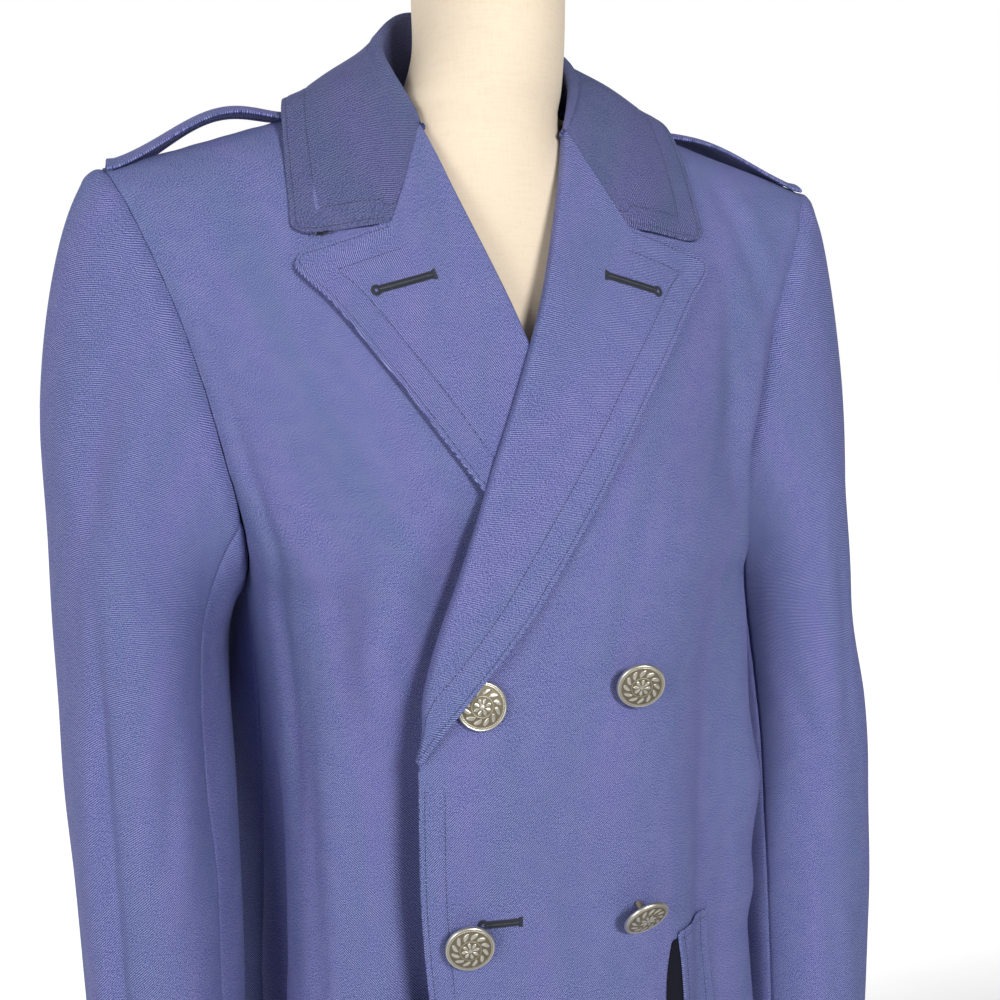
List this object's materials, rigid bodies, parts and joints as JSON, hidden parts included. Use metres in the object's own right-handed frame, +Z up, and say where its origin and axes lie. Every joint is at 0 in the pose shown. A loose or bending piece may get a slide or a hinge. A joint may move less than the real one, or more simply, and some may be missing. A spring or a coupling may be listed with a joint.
{
  "type": "double-breasted overcoat on a limbless dress form",
  "caption": "Buttoned double-breasted overcoat with wide collar, shoulder straps and slanting pockets, on a limbless dress form.",
  "frame": {"origin": "middle of the stand base's underside, on the floor", "axes": "+Z up along the stand's pole, -Y the way the coat's front faces, +X the wearer's left"},
  "size_m": [0.5736, 0.3825, 1.6203],
  "materials": {
    "navy_gabardine": "matt twill",
    "navy_gabardine_collar": "matt twill",
    "antiqued_silver": "antiqued silver plate",
    "cream_linen": "plain weave",
    "beech": "satin lacquer",
    "black_steel": "satin black"
  },
  "bodies": {
    "root": {"front_left": "navy_gabardine", "back_left": "navy_gabardine", "sleeve_upper_left": "navy_gabardine", "sleeve_under_left": "navy_gabardine", "lapel_left": "navy_gabardine_collar", "epaulette_left": "navy_gabardine", "pocket_welt_left": "navy_gabardine", "button_1_left": "antiqued_silver", "button_2_left": "antiqued_silver", "button_3_left": "antiqued_silver", "front_right": "navy_gabardine", "back_right": "navy_gabardine", "sleeve_upper_right": "navy_gabardine", "sleeve_under_right": "navy_gabardine", "lapel_right": "navy_gabardine_collar", "epaulette_right": "navy_gabardine", "pocket_welt_right": "navy_gabardine", "button_1_right": "antiqued_silver", "button_2_right": "antiqued_silver", "button_3_right": "antiqued_silver", "collar": "navy_gabardine_collar", "form_torso": "cream_linen", "form_cap": "beech", "stand_pole": "black_steel", "stand_base": "black_steel"}
  },
  "joints": []
}
